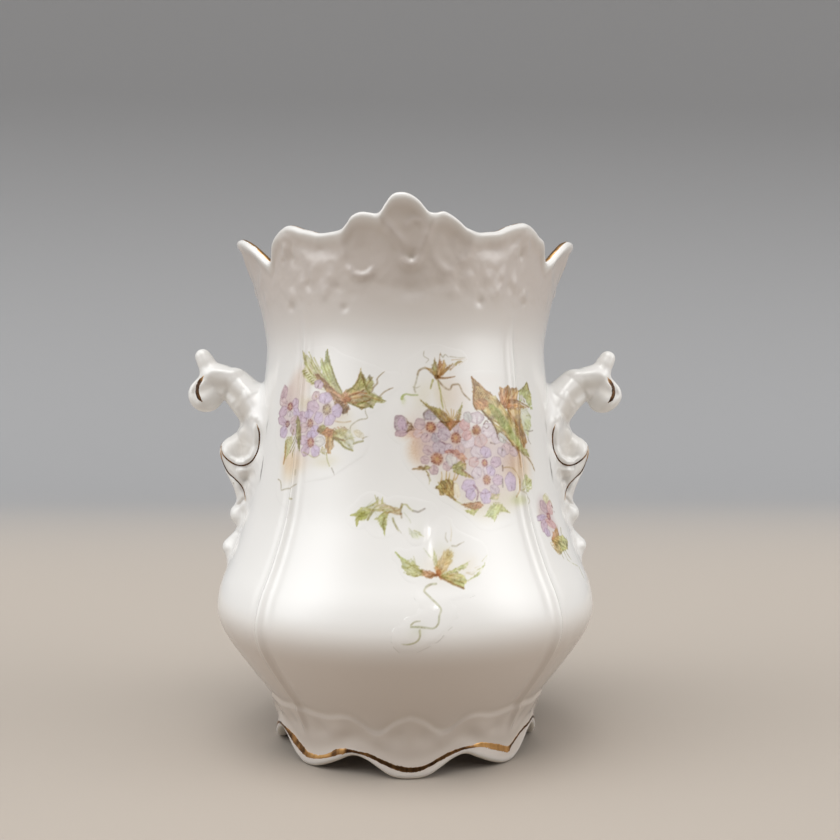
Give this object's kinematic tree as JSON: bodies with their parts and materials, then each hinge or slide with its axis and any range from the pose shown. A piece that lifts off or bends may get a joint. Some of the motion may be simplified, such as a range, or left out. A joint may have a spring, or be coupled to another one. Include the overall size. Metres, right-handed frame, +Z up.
{
  "type": "flower vase",
  "caption": "Small porcelain vase with a scalloped moulded rim and foot, low wide belly, paired scroll handles, gilt lines and printed flower sprays.",
  "frame": {"origin": "middle of the foot, on the surface the vase stands on", "axes": "+Z up along the vase's axis, -Y out of the front face, the two handles along +X and -X"},
  "size_m": [0.1078, 0.092, 0.1221],
  "materials": {
    "porcelain": "clear glossy glaze on white porcelain",
    "gilding": "thin fired gold, worn to brown in places",
    "flower_print": "overglaze transfer print of lavender flowers and olive leaves on peach washes"
  },
  "bodies": {
    "root": {"vase_body": "porcelain", "handle_left": "porcelain", "handle_right": "porcelain", "rim_gilding": "gilding", "foot_gilding": "gilding", "handle_left_gilding": "gilding", "handle_right_gilding": "gilding", "decal_front_left_bouquet": "flower_print", "decal_front_right_bouquet": "flower_print", "decal_front_leaf_sprig": "flower_print", "decal_front_fan_leaf": "flower_print", "decal_right_side_spray": "flower_print", "decal_back_left_bouquet": "flower_print", "decal_back_right_bouquet": "flower_print", "decal_back_leaf_sprig": "flower_print", "decal_back_fan_leaf": "flower_print", "decal_left_side_spray": "flower_print"}
  },
  "joints": []
}
